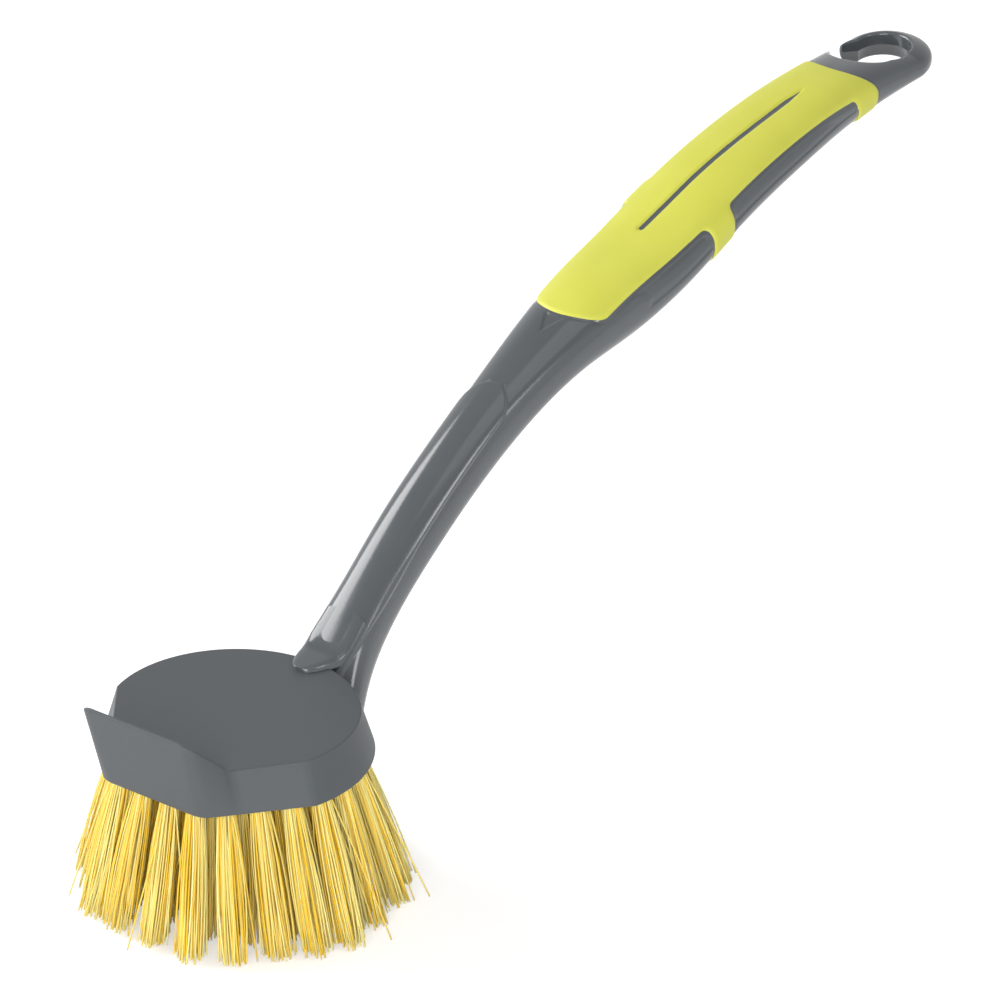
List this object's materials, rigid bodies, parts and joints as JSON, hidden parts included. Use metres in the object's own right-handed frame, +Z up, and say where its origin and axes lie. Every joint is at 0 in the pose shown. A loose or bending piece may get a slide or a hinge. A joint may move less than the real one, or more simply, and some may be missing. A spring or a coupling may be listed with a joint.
{
  "type": "dish brush",
  "caption": "Dish brush with a round bristle head, a scraper lip, a curved handle with a soft grip and an open hanging loop.",
  "frame": {"origin": "on the floor under the middle of the round head, where the bristle tips stand", "axes": "+X towards the handle's end, +Y across the head, +Z up out of the head's plate"},
  "size_m": [0.288, 0.0723, 0.1205],
  "materials": {
    "body": "satin grey moulded plastic",
    "grip": "soft satin lime overmould",
    "bristle": "translucent yellow filament",
    "anchor": "plain flat strip"
  },
  "bodies": {
    "root": {"handle_body": "body", "grip": "grip", "tuft_anchors": "anchor", "tuft_01": "bristle", "tuft_02": "bristle", "tuft_03": "bristle", "tuft_04": "bristle", "tuft_05": "bristle", "tuft_06": "bristle", "tuft_07": "bristle", "tuft_08": "bristle", "tuft_09": "bristle", "tuft_10": "bristle", "tuft_11": "bristle", "tuft_12": "bristle", "tuft_13": "bristle", "tuft_14": "bristle", "tuft_15": "bristle", "tuft_16": "bristle", "tuft_17": "bristle", "tuft_18": "bristle", "tuft_19": "bristle", "tuft_20": "bristle", "tuft_21": "bristle", "tuft_22": "bristle", "tuft_23": "bristle", "tuft_24": "bristle", "tuft_25": "bristle", "tuft_26": "bristle", "tuft_27": "bristle", "tuft_28": "bristle", "tuft_29": "bristle", "tuft_30": "bristle", "tuft_31": "bristle", "tuft_32": "bristle", "tuft_33": "bristle", "tuft_34": "bristle", "tuft_35": "bristle", "tuft_36": "bristle", "tuft_37": "bristle", "tuft_38": "bristle", "tuft_39": "bristle", "tuft_40": "bristle", "tuft_41": "bristle", "tuft_42": "bristle", "tuft_43": "bristle", "tuft_44": "bristle", "tuft_45": "bristle", "tuft_46": "bristle"}
  },
  "joints": []
}
